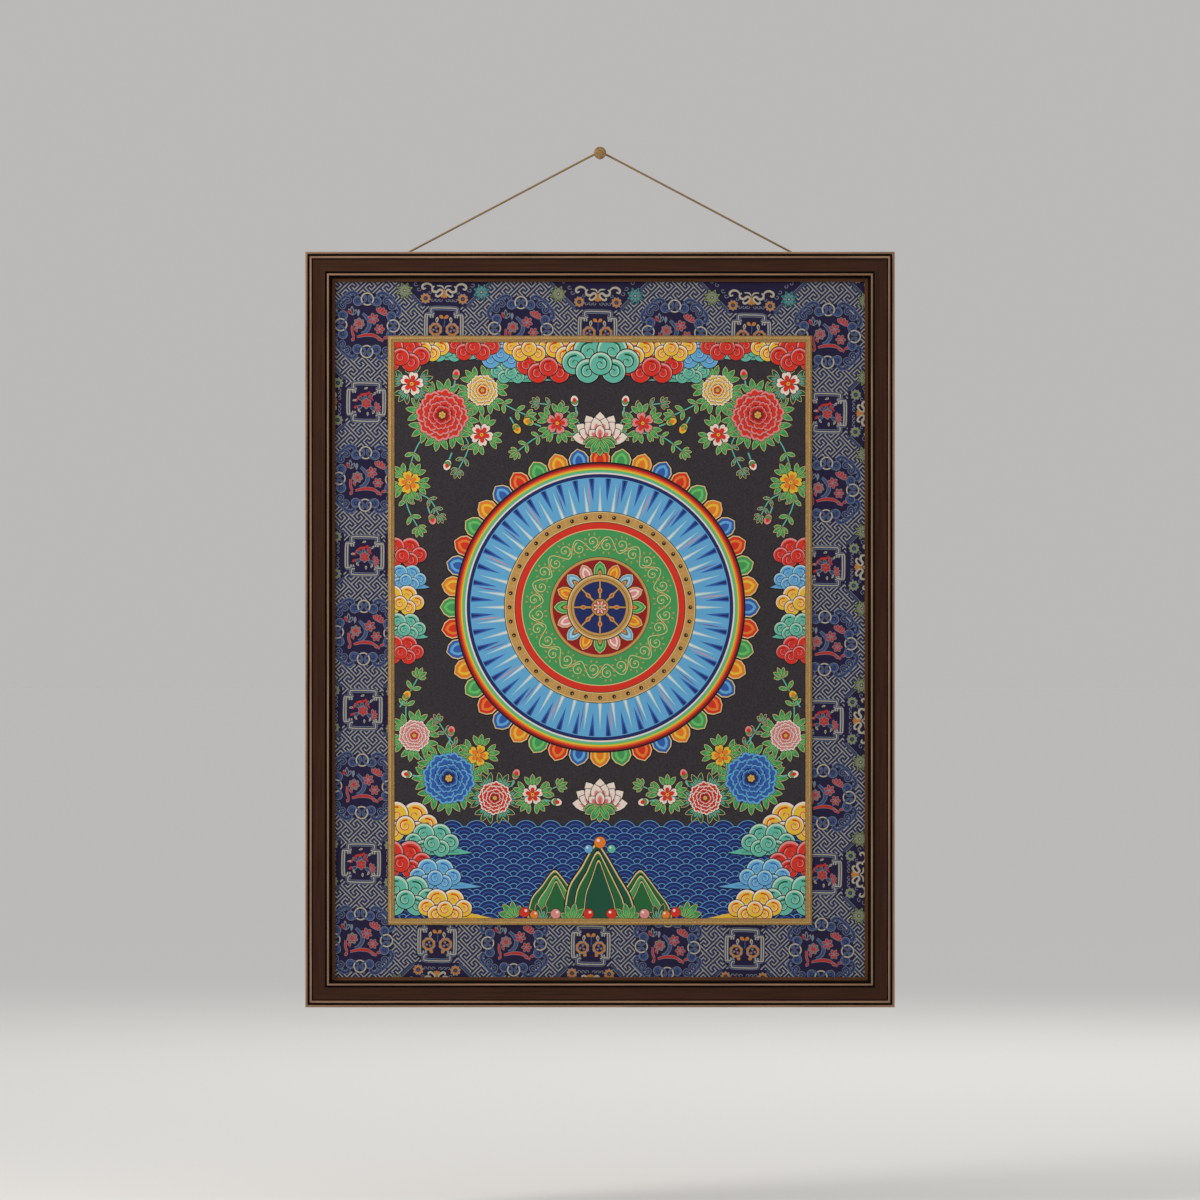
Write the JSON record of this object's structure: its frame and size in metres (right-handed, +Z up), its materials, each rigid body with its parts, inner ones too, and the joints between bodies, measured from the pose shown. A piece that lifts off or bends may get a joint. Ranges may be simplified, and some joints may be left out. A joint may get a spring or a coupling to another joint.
{
  "type": "framed thangka painting with frame, hanging cord and wall knob",
  "caption": "Painted cloth on a brocade ground with a raised gilt strip, in a flat wooden frame that hangs by a cord from a round wall knob.",
  "frame": {"origin": "centre of the wall knob's plate, on the wall plane", "axes": "+Z up, +Y into the wall, so the picture faces -Y, +X to the viewer's right"},
  "size_m": [0.7164, 0.0316, 1.047],
  "materials": {
    "stained_wood": "dark red-brown stain, satin varnish",
    "gilt": "satin gilt, finely stippled",
    "brown_board": "plain hardboard",
    "navy_brocade": "woven brocade, navy ground with pale fret and coloured medallions",
    "painted_cloth": "matt mineral colours on fine cotton",
    "tan_cord": "twisted natural cord",
    "zinc_steel": "zinc plated",
    "brass": "satin aged brass"
  },
  "bodies": {
    "root": {"frame_rail_top": "stained_wood", "frame_rail_bottom": "stained_wood", "frame_stile_left": "stained_wood", "frame_stile_right": "stained_wood", "backing_board": "brown_board", "brocade_sheet": "navy_brocade", "painting_sheet": "painted_cloth", "gilt_strip_top": "gilt", "gilt_strip_bottom": "gilt", "gilt_strip_left": "gilt", "gilt_strip_right": "gilt", "hanging_cord": "tan_cord", "cord_knot_left": "tan_cord", "cord_knot_right": "tan_cord", "hanger_strap_left": "zinc_steel", "hanger_strap_right": "zinc_steel", "hanger_ring_left": "zinc_steel", "hanger_ring_right": "zinc_steel", "hanger_screw_left": "zinc_steel", "hanger_screw_right": "zinc_steel", "wall_knob": "brass"}
  },
  "joints": []
}
